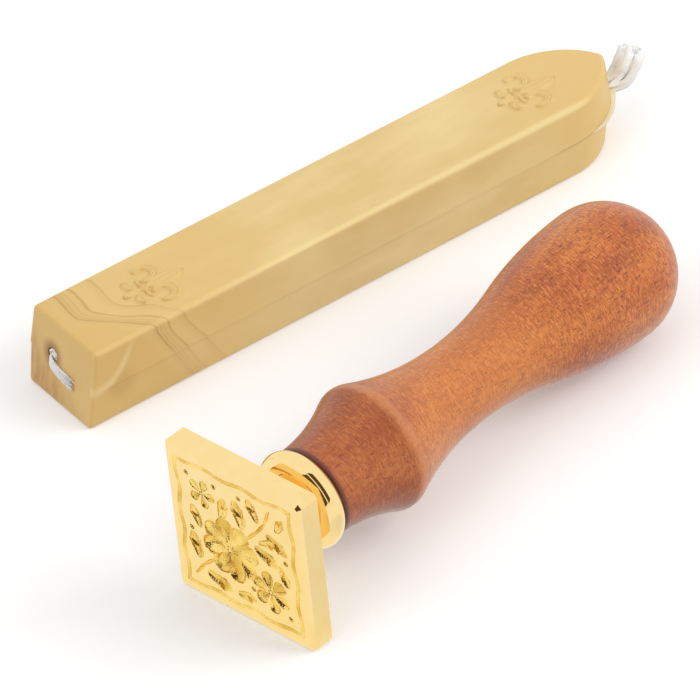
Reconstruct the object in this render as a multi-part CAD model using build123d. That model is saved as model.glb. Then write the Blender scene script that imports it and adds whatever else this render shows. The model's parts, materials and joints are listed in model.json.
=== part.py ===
"""Seal stamp and a stick of sealing wax, lying side by side on a table.

The stamp has a turned wooden handle, a gilt collar, a hidden threaded stud and a square metal head
that screws on. It lies on its side: the head rests on its rear lower edge and the handle on its bulb.
The stick is one casting from a two-part mould, with a braided wick through its whole length.

Millimetres. Each stamp piece is drawn along +X, from the engraved face at X = 0 to the end of the
bulb, around the handle's centre line. The stick is drawn along +X from its rear end to its nose,
with its base on Z = 0. Both are then laid on the table at Z = 0. The origin is on the table, in the
middle of what the set covers.
"""
from build123d import *
from math import acos, asin, atan2, cos, degrees, hypot, radians, sin, tan
import os

# --- driving dimensions: the square head ---
plate_side = 25.0
plate_thickness = 3.5
plate_corner_cut = 0.6
plate_edge_cut = 0.5
border_margin = 1.7
border_groove = 0.7
border_depth = 0.4
border_waves = 3
border_swing = 0.22
neck_radius = 4.7
neck_length = 6.6
neck_root_cut = 0.8

# --- driving dimensions: the stud and its holes ---
stud_radius = 2.45
thread_play = 0.05
stud_in_head = 5.9
stud_in_wood = 15.0
stud_point = 3.5
stud_point_radius = 0.9
stud_end_cut = 0.4
socket_floor_gap = 0.3
hole_mouth_cut = 0.3

# --- driving dimensions: the collar ---
seat_gap = 0.05
collar_nose_radius = 5.5
dome_depth = 1.0
dome_radius = 7.1
rim_width = 2.5
rim_radius = 7.45
rim_shoulder = 6.95
collar_wall = 1.3
collar_hole_play = 0.25
crease_width = 0.15
rim_crown_at = 1.0
dome_bulge_at = 0.55
dome_bulge = 1.25
tenon_radius = 6.0
tenon_play = 0.05

# --- driving dimensions: the turned handle ---
shoulder_radius = 6.85
shoulder_cut = 0.35
ridge_at = 12.65
ridge_radius = 9.65
ridge_round = 3.0
waist_at = 30.3
waist_radius = 6.15
bulb_at = 60.65
bulb_radius = 10.4
bulb_swell_round = 61.0

# --- driving dimensions: the wax stick ---
stick_length = 95.8
stick_width = 16.6
stick_height = 12.1
nose_length = 12.0
nose_tip_round = 1.2
mould_draft = 3.6
mould_step = 0.2
nose_step = 0.5
nose_tuck = 1.4
top_edge_round = 0.9
base_edge_round = 0.7
rear_edge_round = 0.5
rear_slant = 12.5
rear_stock = 12.0
wick_dimple_radius = 2.6
wick_dimple_depth = 0.9

# --- driving dimensions: the wick ---
wick_radius = 1.3
wick_play = 0.05
wick_rear_gap = 0.3
tail_run = 2.4
tail_rise = 4.0
tail_lean = 2.6
tail_bend = 3.25

# --- where the stick lies beside the stamp ---
stick_forward = 19.15
stick_aside = 52.85
stick_turn = -12.1

# --- stations along the stamp, from the engraved face ---
socket_mouth = plate_thickness + neck_length
collar_front = socket_mouth + seat_gap
crease_at = collar_front + dome_depth
collar_back = crease_at + rim_width
collar_floor = collar_front + collar_wall
tenon_front = collar_floor + seat_gap
shoulder_at = collar_back + seat_gap
stud_front = socket_mouth - stud_in_head
stud_rear = tenon_front + stud_in_wood
bore_radius = stud_radius + thread_play
half_side = plate_side / 2
parting_height = stick_height / 2

# edges and faces are found by their place, to within this
near = 0.01


def body_of_revolution(profile):
    """Turn a closed outline, drawn as radius over station, about the centre line."""
    return revolve(make_face(profile), Axis.X)


def rod(radius, start, end):
    """A round bar along +X from one station to another."""
    return Plane.YZ.offset(start) * extrude(Circle(radius), end - start)


def ring_edges(solid, radius, station):
    """The round edges of this radius about the centre line at one station."""
    return solid.edges().filter_by(GeomType.CIRCLE).filter_by(
        lambda e: abs(e.radius - radius) < near and abs(e.center().X - station) < near
    )


def wavy_square(half):
    """A square outline whose four sides swing in and out in equal arcs."""
    bends = 2 * border_waves
    step = 2 * half / bends
    corners = [(-half, -half), (half, -half), (half, half), (-half, half)]
    along = [(1, 0), (0, 1), (-1, 0), (0, -1)]
    arcs = []
    for corner, way in zip(corners, along):
        for bend in range(bends):
            start = (corner[0] + way[0] * step * bend, corner[1] + way[1] * step * bend)
            end = (start[0] + way[0] * step, start[1] + way[1] * step)
            swing = border_swing if bend % 2 else -border_swing
            crest = ((start[0] + end[0]) / 2 + way[1] * swing, (start[1] + end[1]) / 2 - way[0] * swing)
            arcs.append(ThreePointArc(start, crest, end))
    return make_face(arcs)


def make_die_head():
    """Square plate with a wavy border groove, and a neck with a blind threaded socket."""
    plate = Plane.YZ * extrude(Rectangle(plate_side, plate_side), plate_thickness)
    plate = chamfer(plate.edges().filter_by(Axis.X), plate_corner_cut)
    plate = chamfer(plate.faces().sort_by(Axis.X)[0].edges(), plate_edge_cut)
    outer = half_side - border_margin
    groove = wavy_square(outer) - wavy_square(outer - border_groove)
    plate -= Plane.YZ * extrude(groove, border_depth)
    neck = rod(neck_radius, plate_thickness, socket_mouth)
    head = plate + neck
    head = chamfer(ring_edges(head, neck_radius, plate_thickness), neck_root_cut)
    head -= rod(bore_radius, stud_front - socket_floor_gap, socket_mouth)
    return chamfer(ring_edges(head, bore_radius, socket_mouth), hole_mouth_cut)


def make_threaded_stud():
    """Double-ended stud: a plain-ended thread for the head, a pointed one in the wood."""
    point_start = stud_rear - stud_point
    outline = Polyline(
        (stud_front, 0),
        (stud_front, stud_radius - stud_end_cut),
        (stud_front + stud_end_cut, stud_radius),
        (point_start, stud_radius),
        (stud_rear, stud_point_radius),
        (stud_rear, 0),
        close=True,
    )
    return body_of_revolution(outline)


def make_ferrule():
    """Collar: a domed nose, a crease, a rounded rim, and a cup for the handle's tenon."""
    hole = stud_radius + collar_hole_play
    outline = [
        Line((collar_front, hole), (collar_front, collar_nose_radius)),
        ThreePointArc(
            (collar_front, collar_nose_radius),
            (collar_front + dome_bulge_at, collar_nose_radius + dome_bulge),
            (crease_at, dome_radius),
        ),
        Line((crease_at, dome_radius), (crease_at + crease_width, dome_radius)),
        ThreePointArc(
            (crease_at + crease_width, dome_radius),
            (crease_at + rim_crown_at, rim_radius),
            (collar_back - crease_width, rim_shoulder),
        ),
        Line((collar_back - crease_width, rim_shoulder), (collar_back, rim_shoulder - crease_width)),
        Line((collar_back, rim_shoulder - crease_width), (collar_back, tenon_radius)),
        Line((collar_back, tenon_radius), (collar_floor, tenon_radius)),
        Line((collar_floor, tenon_radius), (collar_floor, hole)),
        Line((collar_floor, hole), (collar_front, hole)),
    ]
    return body_of_revolution(outline)


def hollow_end(low, crest, crest_round):
    """Where a hollow that is level at its low point runs smoothly into a round crest."""
    rise = crest[1] - low[1]
    run = abs(crest[0] - low[0])
    depth = low[1] - (crest[1] - crest_round)
    hollow_round = (run**2 + depth**2 - crest_round**2) / (2 * rise)
    share = crest_round / (hollow_round + crest_round)
    crest_centre = (crest[0], crest[1] - crest_round)
    hollow_centre = (low[0], low[1] + hollow_round)
    return tuple(c + (h - c) * share for c, h in zip(crest_centre, hollow_centre))


def make_wood_handle():
    """Turned handle: tenon, flared shoulder, ridge, waist and a bulb that ends in a half ball."""
    tenon = tenon_radius - tenon_play
    corner = (shoulder_at, shoulder_radius - shoulder_cut)
    shoulder = (shoulder_at + shoulder_cut, shoulder_radius)
    ridge = (shoulder_at + ridge_at, ridge_radius)
    waist = (shoulder_at + waist_at, waist_radius)
    bulb = (shoulder_at + bulb_at, bulb_radius)
    ball = bulb_radius * sin(radians(45))
    bore_end = stud_rear + seat_gap

    ridge_front = hollow_end(shoulder, ridge, ridge_round)
    ridge_back = hollow_end(waist, ridge, ridge_round)
    swell = hollow_end(waist, bulb, bulb_swell_round)
    outline = [
        Line((tenon_front, bore_radius), (tenon_front, tenon)),
        Line((tenon_front, tenon), (shoulder_at, tenon)),
        Line((shoulder_at, tenon), corner),
        Line(corner, shoulder),
        TangentArc(shoulder, ridge_front, tangent=(1, 0)),
        ThreePointArc(ridge_front, ridge, ridge_back),
        TangentArc(waist, ridge_back, tangent=(-1, 0)),
        TangentArc(waist, swell, tangent=(1, 0)),
        TangentArc(bulb, swell, tangent=(-1, 0)),
        ThreePointArc(bulb, (bulb[0] + ball, ball), (bulb[0] + bulb_radius, 0)),
        Line((bulb[0] + bulb_radius, 0), (bore_end, 0)),
        Line((bore_end, 0), (bore_end, bore_radius)),
        Line((bore_end, bore_radius), (tenon_front, bore_radius)),
    ]
    return body_of_revolution(outline)


def stick_plan(height, inset, nose_back):
    """Plan outline of the stick: a long box with a pointed-arch nose, rounded at its tip."""
    half_width = stick_width / 2 - inset
    side_end = stick_length - nose_length
    reach = nose_length - nose_back
    arch = (reach**2 + half_width**2) / (2 * half_width)
    turn = asin(reach / arch) / 2
    mid = (side_end + arch * sin(turn), half_width - arch * (1 - cos(turn)))
    tip = (side_end + reach, 0)
    outline = [
        Line((-rear_stock, -half_width), (side_end, -half_width)),
        ThreePointArc((side_end, -half_width), (mid[0], -mid[1]), tip),
        ThreePointArc(tip, mid, (side_end, half_width)),
        Line((side_end, half_width), (-rear_stock, half_width)),
        Line((-rear_stock, half_width), (-rear_stock, -half_width)),
    ]
    plan = make_face(outline)
    point = plan.vertices().sort_by(Axis.X)[-1]
    return Plane.XY.offset(height) * fillet(point, nose_tip_round)


def mould_half(flat_height, step, nose_step_back, nose_draft_back, edge_round):
    """One half of the casting: drafted from the parting plane to its flat face, with soft edges."""
    draft = parting_height * tan(radians(mould_draft))
    half = loft(
        [
            stick_plan(parting_height, step, nose_step_back),
            stick_plan(flat_height, step + draft, nose_step_back + nose_draft_back),
        ],
        ruled=True,
    )
    cutter_size = 2 * (stick_width + rear_stock)
    cutter = Pos(-cutter_size / 2, 0, 0) * Box(cutter_size, cutter_size, cutter_size)
    half -= Pos(0, 0, parting_height) * Rot(0, rear_slant, 0) * cutter
    way = 1 if flat_height > parting_height else -1
    flat = half.faces().sort_by(Axis.Z)[::way][-1]
    half = fillet(flat.edges().sort_by(Axis.X)[1:], edge_round)
    rear_face = half.faces().filter_by(GeomType.PLANE).sort_by(Axis.X)[0]
    outer_edges = rear_face.edges().filter_by(lambda e: abs(e.center().Z - parting_height) > near)
    return fillet(outer_edges, rear_edge_round)


def make_wax_stick():
    """The casting: two drafted halves with a small step at the parting, a sunk rear and a wick hole."""
    draft = parting_height * tan(radians(mould_draft))
    top = mould_half(stick_height, 0, 0, draft, top_edge_round)
    base = mould_half(0, mould_step, nose_step, nose_tuck, base_edge_round)

    # the sunk cone around the wick is as wide at the rear plane as named, and widens past it
    mouth_reach = 2 * wick_dimple_radius - wick_radius
    cone = Polyline(
        (-wick_dimple_depth, 0),
        (-wick_dimple_depth, mouth_reach),
        (wick_dimple_depth, wick_radius),
        (wick_dimple_depth, 0),
        close=True,
    )
    stick = top + base - Pos(0, 0, parting_height) * body_of_revolution(cone)
    return stick - Pos(0, 0, parting_height) * rod(wick_radius + wick_play, 0, stick_length)


def make_wick():
    """Wick: straight through the stick, with a short tail bent upwards past the nose."""
    path = FilletPolyline(
        (wick_rear_gap, 0, parting_height),
        (stick_length + tail_run, 0, parting_height),
        (stick_length + tail_run + tail_lean, 0, parting_height + tail_rise),
        radius=tail_bend,
    )
    section = Plane.YZ.offset(wick_rear_gap) * (Pos(0, parting_height) * Circle(wick_radius))
    return sweep(section, path=path)


# --- laying both on the table ---
# The head's rear lower edge touches the table, and so does the half ball at the end of the bulb.
bulb_reach = shoulder_at + bulb_at - plate_thickness
stamp_tilt = acos(bulb_radius / hypot(half_side, bulb_reach)) - atan2(bulb_reach, half_side)


def lay_stamp(piece):
    """Tip a stamp piece about the head's rear lower edge and stand that edge on the table."""
    centred = Pos(-plate_thickness, 0, half_side) * piece
    return Pos(plate_thickness, 0, 0) * Rot(0, degrees(stamp_tilt), 0) * centred


def lay_stick(piece):
    """Put a stick piece in its place beside the stamp."""
    return Pos(stick_forward, stick_aside, 0) * Rot(0, 0, stick_turn) * piece


stamp_pieces = {
    "wood_handle": make_wood_handle(),
    "ferrule": make_ferrule(),
    "threaded_stud": make_threaded_stud(),
    "die_head": make_die_head(),
}
stick_pieces = {
    "wax_stick": make_wax_stick(),
    "wick": make_wick(),
}
laid = {name: lay_stamp(piece) for name, piece in stamp_pieces.items()}
laid |= {name: lay_stick(piece) for name, piece in stick_pieces.items()}

covered = Compound(list(laid.values())).bounding_box()
origin = (covered.center().X, covered.center().Y, covered.min.Z)

os.makedirs("parts", exist_ok=True)
for name, piece in laid.items():
    export_step(Pos(-origin[0], -origin[1], -origin[2]) * piece, f"parts/{name}.step")

face_centre = lay_stamp(Vertex(0, 0, 0)).center() - Vector(*origin)
print("tilt of the stamp, degrees:", round(degrees(stamp_tilt), 4))
print("centre of the engraved face:", [round(value, 4) for value in face_centre])
print("way out of that face:", [round(-cos(stamp_tilt), 6), 0, round(sin(stamp_tilt), 6)])
print("middle of the stick's base:", [
    round(value, 4) for value in lay_stick(Vertex(stick_length / 2, 0, 0)).center() - Vector(*origin)
])
print("travel of the head along its thread:", round(stud_in_head, 3))
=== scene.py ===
# %% [markdown]
# # A seal stamp and a stick of sealing wax
#
# The CAD frame already holds six pieces at their real size: a turned handle, a collar, a threaded
# stud, a square metal head, a wax casting and its wick. This lesson dresses each one. Each piece is
# modelled on a straight axis, where it is easy to think about, and then laid in its place. The first
# cell loads the frame.

# %% Load the fixed frame
import bmesh
import bpy
import json
from math import atan2, ceil, cos, degrees, exp, hypot, pi, radians, sin, sqrt, tan, tau
from mathutils import Matrix, Vector
from random import Random


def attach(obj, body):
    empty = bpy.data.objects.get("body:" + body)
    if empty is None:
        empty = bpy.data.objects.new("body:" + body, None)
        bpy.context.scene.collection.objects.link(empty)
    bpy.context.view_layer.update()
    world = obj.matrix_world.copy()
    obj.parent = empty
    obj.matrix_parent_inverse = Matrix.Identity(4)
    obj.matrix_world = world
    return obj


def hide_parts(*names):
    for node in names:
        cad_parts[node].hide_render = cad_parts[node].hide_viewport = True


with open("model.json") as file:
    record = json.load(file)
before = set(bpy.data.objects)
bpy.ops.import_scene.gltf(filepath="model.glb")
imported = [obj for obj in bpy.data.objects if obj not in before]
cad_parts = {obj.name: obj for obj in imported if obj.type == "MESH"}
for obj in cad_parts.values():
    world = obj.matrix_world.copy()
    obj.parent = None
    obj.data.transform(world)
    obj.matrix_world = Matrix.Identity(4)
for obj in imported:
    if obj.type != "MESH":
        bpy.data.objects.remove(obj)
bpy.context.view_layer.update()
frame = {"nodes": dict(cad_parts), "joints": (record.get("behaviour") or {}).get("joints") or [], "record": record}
mm = 0.001

print("CAD pieces:", sorted(frame["nodes"]))

# %% [markdown]
# ## Where the stamp and the stick lie
#
# The record's first joint is the screw axis of the stamp. It gives the middle of the engraved face
# and the way out of it, so the stamp's own frame is found and not typed in: X runs from that face
# into the handle. The stick's frame stands on the middle of its base mount, turned by the angle at
# which it lies beside the stamp, and its X runs from the rear end to the nose.

# %% The two lying frames
stick_length = 95.8 * mm
stick_turn = radians(-12.1)

screw = next(joint for joint in frame["joints"] if joint["name"] == "head_turn")
base_mount = next(mount for mount in frame["record"]["mounts"] if mount["name"] == "stick_base")


def lying_frame(middle, forward, side):
    """A matrix whose X and Y are the two ways given, with its origin at a point."""
    axes = Matrix((forward, side, forward.cross(side))).transposed()
    return Matrix.Translation(middle) @ axes.to_4x4()


stamp_frame = lying_frame(Vector(screw["pos_m"]), -Vector(screw["axis"]).normalized(), Vector((0, 1, 0)))
stick_way = Vector((cos(stick_turn), sin(stick_turn), 0))
stick_side = Vector((-sin(stick_turn), cos(stick_turn), 0))
stick_rear = Vector(base_mount["pos_m"]) - stick_way * stick_length / 2
stick_frame = lying_frame(stick_rear, stick_way, stick_side)

print("middle of the engraved face, mm:", [round(value / mm, 2) for value in stamp_frame.translation])
print("rear of the stick's base, mm:", [round(value / mm, 2) for value in stick_frame.translation])

# %% [markdown]
# ## Tools for the bench
#
# An operator acts on whatever is selected, so each step starts by selecting one piece alone. Inside
# edit mode, `pick` selects faces, edges or points by a rule about their place, as a hand would click
# them. A piece that is ready is laid in its frame, and the lay is applied, so that its object stays
# at the origin with its place in its mesh.

# %% Select, pick and lay
def only(piece):
    """Go to object mode and select this piece alone."""
    if bpy.context.mode != "OBJECT":
        bpy.ops.object.mode_set(mode="OBJECT")
    bpy.ops.object.select_all(action="DESELECT")
    piece.select_set(True)
    bpy.context.view_layer.objects.active = piece
    return piece


def start(name):
    """Name the primitive that was just added, fix its size, and open it in edit mode."""
    piece = bpy.context.object
    piece.name = name
    piece.data.name = name
    only(piece)
    bpy.ops.object.transform_apply(location=True, rotation=True, scale=True)
    bpy.ops.object.mode_set(mode="EDIT")
    bpy.ops.mesh.select_mode(type="VERT")
    return piece


def pick(kind, rule):
    """In edit mode, select the points, edges or faces that a rule accepts, and count them."""
    bpy.ops.mesh.select_mode(type=kind)
    bpy.ops.mesh.select_all(action="DESELECT")
    mesh = bpy.context.edit_object.data
    cells = bmesh.from_edit_mesh(mesh)
    found = 0
    for cell in {"VERT": cells.verts, "EDGE": cells.edges, "FACE": cells.faces}[kind]:
        if rule(cell):
            cell.select_set(True)
            found += 1
    cells.select_flush_mode()
    bmesh.update_edit_mesh(mesh)
    return found


def slice_at(place, normal, **more):
    """Cut what is selected in edit mode along a plane."""
    bpy.ops.mesh.bisect(plane_co=place, plane_no=normal, threshold=0.0005 * mm, **more)


def tidy_shell(smooth_angle=None, merge=0.002 * mm):
    """Merge doubled points, turn the faces outwards, leave edit mode and shade the piece."""
    bpy.ops.mesh.select_all(action="SELECT")
    bpy.ops.mesh.remove_doubles(threshold=merge)
    bpy.ops.mesh.normals_make_consistent(inside=False)
    bpy.ops.object.mode_set(mode="OBJECT")
    if smooth_angle is not None:
        bpy.ops.object.shade_smooth_by_angle(angle=smooth_angle)


def finish_with(piece, kind, **settings):
    """Add a modifier with these settings and apply it."""
    only(piece)
    modifier = piece.modifiers.new(kind.title(), kind)
    for name, value in settings.items():
        setattr(modifier, name, value)
    bpy.ops.object.modifier_apply(modifier=modifier.name)


def lay(piece, place):
    """Put a finished piece in its lying frame and apply it."""
    only(piece)
    piece.matrix_world = place @ piece.matrix_world
    bpy.ops.object.transform_apply(location=True, rotation=True, scale=True)


def report(piece):
    """Say how large a finished piece is."""
    triangles = sum(len(face.vertices) - 2 for face in piece.data.polygons)
    size = [round(side / mm, 1) for side in piece.dimensions]
    print(f"{piece.name}: {triangles} triangles, {size} mm")


# %% [markdown]
# ## Camera
#
# The camera stands about a metre away behind a long lens, as a product photographer would, which
# keeps the edges of the stick nearly parallel. It looks down 38 degrees from the front left and
# leans a little to one side, so that both things lie aslant across a square picture.

# %% Camera
lens_length = 360.0
film_width = 36.0
camera_place = Vector((-532.05, -563.28, 611.17)) * mm
camera_target = Vector((-8.68, 3.51, 0)) * mm
camera_lean = radians(-7.64)

view_way = (camera_target - camera_place).normalized()
level_right = view_way.cross(Vector((0, 0, 1))).normalized()
level_up = level_right.cross(view_way)
film_right = level_right * cos(camera_lean) + level_up * sin(camera_lean)
film_up = level_up * cos(camera_lean) - level_right * sin(camera_lean)

bpy.ops.object.camera_add()
camera = bpy.context.object
camera.data.lens = lens_length
camera.data.sensor_width = film_width
camera.data.sensor_fit = "HORIZONTAL"
camera.matrix_world = lying_frame(camera_place, film_right, film_up)
bpy.context.scene.camera = camera

print("camera distance, mm:", round((camera_place - camera_target).length / mm, 1))

# %% [markdown]
# ## Helpers for materials
#
# A node material is a small machine: coordinates go in, patterns and ramps change them, and the
# shader turns them into colour, gloss and relief. These helpers add one node in one line. An input
# takes either a plain value or another node's output.

# %% Node helpers
class Recipe:
    """One material's node tree, with short ways to add its nodes."""

    def __init__(self, name):
        self.material = bpy.data.materials.new(name)
        self.material.use_nodes = True
        self.tree = self.material.node_tree
        self.tree.nodes.clear()
        self.output = self.tree.nodes.new("ShaderNodeOutputMaterial")
        self.shader = self.tree.nodes.new("ShaderNodeBsdfPrincipled")
        self.tree.links.new(self.shader.outputs[0], self.output.inputs["Surface"])

    def plug(self, socket, value):
        """Link an output to a socket, or set the socket to a plain value."""
        if isinstance(value, bpy.types.NodeSocket):
            self.tree.links.new(value, socket)
        else:
            socket.default_value = value

    def node(self, kind, settings=None, **inputs):
        """Add a node; an input's name has underscores for its spaces."""
        made = self.tree.nodes.new("ShaderNode" + kind)
        for name, value in (settings or {}).items():
            setattr(made, name, value)
        for name, value in inputs.items():
            self.plug(made.inputs[name.replace("_", " ")], value)
        return made

    def sum(self, operation, *values):
        """A Math node on up to three values."""
        made = self.node("Math", {"operation": operation})
        for socket, value in zip(made.inputs, values):
            self.plug(socket, value)
        return made.outputs[0]

    def fade(self, value, low, high, to_low=0.0, to_high=1.0):
        """Turn a range of values into another, softly, and hold it at its ends."""
        made = self.node("MapRange", {"interpolation_type": "SMOOTHSTEP"}, Value=value)
        made.inputs["From Min"].default_value = low
        made.inputs["From Max"].default_value = high
        made.inputs["To Min"].default_value = to_low
        made.inputs["To Max"].default_value = to_high
        return made.outputs["Result"]

    def blend(self, share, first, second, how="MIX"):
        """Mix two colours by a share."""
        made = self.node("Mix", {"data_type": "RGBA", "blend_type": how})
        for socket, value in zip((made.inputs[0], made.inputs[6], made.inputs[7]), (share, first, second)):
            self.plug(socket, value)
        return made.outputs[2]

    def ramp(self, value, *stops):
        """A colour ramp with (position, colour) stops."""
        made = self.node("ValToRGB", Fac=value)
        band = made.color_ramp
        while len(band.elements) < len(stops):
            band.elements.new(0.5)
        for element, (position, colour) in zip(band.elements, stops):
            element.position = position
            element.color = colour
        return made.outputs["Color"]

    def own_frame(self, place):
        """Object coordinates as seen from a lying frame, in millimetres."""
        where = self.node("TexCoord").outputs["Object"]
        turned = self.node("Mapping", {"vector_type": "TEXTURE"}, Vector=where)
        turned.inputs["Location"].default_value = place.translation
        turned.inputs["Rotation"].default_value = place.to_euler()
        turned.inputs["Scale"].default_value = (mm, mm, mm)
        return turned.outputs["Vector"]

    def stretched(self, where, scale, turn=(0, 0, 0)):
        """Coordinates scaled, and turned, for a pattern that runs one way."""
        made = self.node("Mapping", {"vector_type": "POINT"}, Vector=where)
        made.inputs["Scale"].default_value = scale
        made.inputs["Rotation"].default_value = turn
        return made.outputs["Vector"]

    def noise(self, where, scale, detail=2.0, roughness=0.5, distortion=0.0):
        """Soft noise, as one value from 0 to 1."""
        made = self.node("TexNoise", Vector=where, Scale=scale, Detail=detail, Roughness=roughness)
        made.inputs["Distortion"].default_value = distortion
        return made.outputs["Fac"]

    def relief(self, height, distance, strength=1.0, under=None):
        """A bump from a height; the distance is how deep a height of one is."""
        made = self.node("Bump", Height=height, Distance=distance, Strength=strength)
        if under is not None:
            self.plug(made.inputs["Normal"], under)
        return made.outputs["Normal"]

    def surface(self, **inputs):
        """Set or link the shader's own inputs."""
        for name, value in inputs.items():
            self.plug(self.shader.inputs[name.replace("_", " ")], value)


def colour(red, green, blue):
    """A colour picked on screen, from 0 to 255, as the linear value that nodes use."""
    shares = [value / 255 for value in (red, green, blue)]
    return tuple(s / 12.92 if s <= 0.04045 else ((s + 0.055) / 1.055) ** 2.4 for s in shares) + (1.0,)


print("a mid grey of 128 is", round(colour(128, 128, 128)[0], 3), "in linear light")

# %% [markdown]
# ## Floor, room and lamps
#
# The set lies on a white table in a bright, even room. The floor is a large plane. To the camera it
# is white, and to the light it is a little grey, so it doesn't lift the undersides too much. In gloss
# it is white too, but for a painted warm glow of the gold near the head's foot and a painted soft
# shadow beside the head. The room is the world's colour. One broad lamp above and behind gives the
# top faces their lead over the sides, and a weaker one from the left fills. Lamps don't show in gloss;
# what a polished thing mirrors is the room, the floor, and one black card that hangs round the camera.

# %% Floor
floor_size = 4.0


def paint_floor():
    """White to the camera, pale grey for light that bounces, and white in gloss but for a painted warm glow of the
    gold and a painted soft shadow beside the head.
    """
    recipe = Recipe("white_table")
    seen = recipe.node("LightPath")
    by_eye = seen.outputs["Is Camera Ray"]
    in_gloss = recipe.sum("MAXIMUM", seen.outputs["Is Glossy Ray"], seen.outputs["Is Transmission Ray"])
    tone = recipe.blend(by_eye, (0.62, 0.62, 0.62, 1), (0.93, 0.93, 0.93, 1))
    tone = recipe.blend(in_gloss, tone, (0.0, 0.0, 0.0, 1))
    recipe.surface(Base_Color=tone, Roughness=0.9, Specular_IOR_Level=0.0)
    where = recipe.own_frame(Matrix())
    # Painted reflection: a warm glow of the gold on the floor near the head's foot, seen only in gloss.
    foot = recipe.node("VectorMath", {"operation": "DISTANCE"}, Vector=where)
    foot.inputs[1].default_value = (-62.0, -22.0, 0.0)
    painted_gold_glow = recipe.blend(recipe.fade(foot.outputs["Value"], 4.0, 30.0), (1, 0.97, 0.80, 1), (1, 1, 1, 1))
    # Painted shadow: a soft grey spot beside the head, seen only in gloss.
    gloss_shadow_spot = recipe.node("VectorMath", {"operation": "DISTANCE"}, Vector=where)
    gloss_shadow_spot.inputs[1].default_value = (-46.0, -49.0, 0.0)
    painted_gloss_shadow = recipe.fade(gloss_shadow_spot.outputs["Value"], 6.0, 22.0, 0.86, 1.0)
    glow = recipe.sum("MULTIPLY_ADD", in_gloss, painted_gloss_shadow, recipe.sum("MULTIPLY", by_eye, 0.16))
    recipe.surface(Emission_Color=recipe.blend(by_eye, painted_gold_glow, (1, 1, 1, 1)), Emission_Strength=glow)
    return recipe.material


bpy.ops.mesh.primitive_plane_add(size=floor_size)
floor = bpy.context.object
floor.name = "white_table"
floor.data.materials.append(paint_floor())
print("floor:", floor_size, "m square")

# %% Room and lamps
def light_room(seen_strength, lit_strength):
    """A white room: full white to the eye and in gloss, weaker as a source of light."""
    world = bpy.data.worlds.new("white_room")
    world.use_nodes = True
    bpy.context.scene.world = world
    nodes, links = world.node_tree.nodes, world.node_tree.links
    background = nodes["Background"]
    background.inputs["Color"].default_value = (1, 1, 1, 1)
    path = nodes.new("ShaderNodeLightPath")
    seen = nodes.new("ShaderNodeMath")
    seen.operation = "MAXIMUM"
    links.new(path.outputs["Is Camera Ray"], seen.inputs[0])
    links.new(path.outputs["Is Glossy Ray"], seen.inputs[1])
    through = nodes.new("ShaderNodeMath")
    through.operation = "MAXIMUM"
    links.new(seen.outputs[0], through.inputs[0])
    links.new(path.outputs["Is Transmission Ray"], through.inputs[1])
    strength = nodes.new("ShaderNodeMapRange")
    strength.inputs["To Min"].default_value = lit_strength
    strength.inputs["To Max"].default_value = seen_strength
    links.new(through.outputs[0], strength.inputs["Value"])
    links.new(strength.outputs["Result"], background.inputs["Strength"])


def hang_lamp(name, place, target, size, watts):
    """A square soft lamp that faces a point."""
    bpy.ops.object.light_add(type="AREA", location=place)
    lamp = bpy.context.object
    lamp.name = name
    lamp.data.shape = "SQUARE"
    lamp.data.size = size
    lamp.data.energy = watts
    lamp.rotation_euler = (Vector(target) - Vector(place)).to_track_quat("-Z", "Y").to_euler()
    lamp.visible_glossy = False
    return lamp


def hang_black_card(name, place, long_way, width, length):
    """A dark card near the camera that only polished things mirror; it gives gold its dark lines."""
    bpy.ops.mesh.primitive_plane_add(size=1, scale=(width, length, 1))
    card = bpy.context.object
    card.name = name
    bpy.ops.object.transform_apply(location=True, rotation=True, scale=True)
    facing = -Vector(place).normalized()
    along = Vector(long_way) - facing * facing.dot(Vector(long_way))
    card.matrix_world = lying_frame(Vector(place), along.normalized().cross(facing), along.normalized())
    recipe = Recipe("black_card")
    recipe.surface(Base_Color=(0, 0, 0, 1), Specular_IOR_Level=0.0, Emission_Strength=1.0)
    recipe.surface(Emission_Color=(0.10, 0.06, 0.03, 1))
    card.data.materials.append(recipe.material)
    for kind in ("camera", "diffuse", "transmission", "shadow", "volume_scatter"):
        setattr(card, "visible_" + kind, False)


light_room(seen_strength=1.0, lit_strength=0.73)
hang_black_card("black_card", (-0.592, -0.373, 0.389), (0.0, 0.684, 0.73), 0.50, 0.74)
hang_lamp("front_softbox", (0.65, -0.85, 0.75), (0, 0, 0), 0.8, 6.6)
hang_lamp("left_softbox", (-0.9, 0.1, 0.8), (0, 0, 0), 0.7, 2.0)
bpy.context.scene.view_settings.view_transform = "Standard"

# %% [markdown]
# ## Turned pieces
#
# The handle, the collar and the neck were all cut on a lathe, so each is one outline that turns about
# an axis. The spin operator does just that. The outline starts as a plane merged to a single point,
# and the point is extruded from station to station. Round stretches are true arcs, cut into runs
# short enough that the gloss on them stays smooth.

# %% Outlines and the lathe
outline_step = 0.6 * mm


def arc_run(centre, first, last, step=outline_step):
    """Points along the shorter arc about a centre, after its first point and up to its last."""
    begin = atan2(first[1] - centre[1], first[0] - centre[0])
    sweep = atan2(last[1] - centre[1], last[0] - centre[0]) - begin
    sweep = (sweep + pi) % tau - pi
    radius = hypot(first[0] - centre[0], first[1] - centre[1])
    runs = max(3, ceil(radius * abs(sweep) / step))
    angles = [begin + sweep * run / runs for run in range(1, runs + 1)]
    return [(centre[0] + radius * cos(a), centre[1] + radius * sin(a)) for a in angles]


def three_point_centre(a, b, c):
    """The centre of the circle through three points."""
    (ax, ay), (bx, by), (cx, cy) = a, b, c
    twice = 2 * (ax * (by - cy) + bx * (cy - ay) + cx * (ay - by))
    squares = [x * x + y * y for x, y in (a, b, c)]
    x = (squares[0] * (by - cy) + squares[1] * (cy - ay) + squares[2] * (ay - by)) / twice
    y = (squares[0] * (cx - bx) + squares[1] * (ax - cx) + squares[2] * (bx - ax)) / twice
    return x, y


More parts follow.
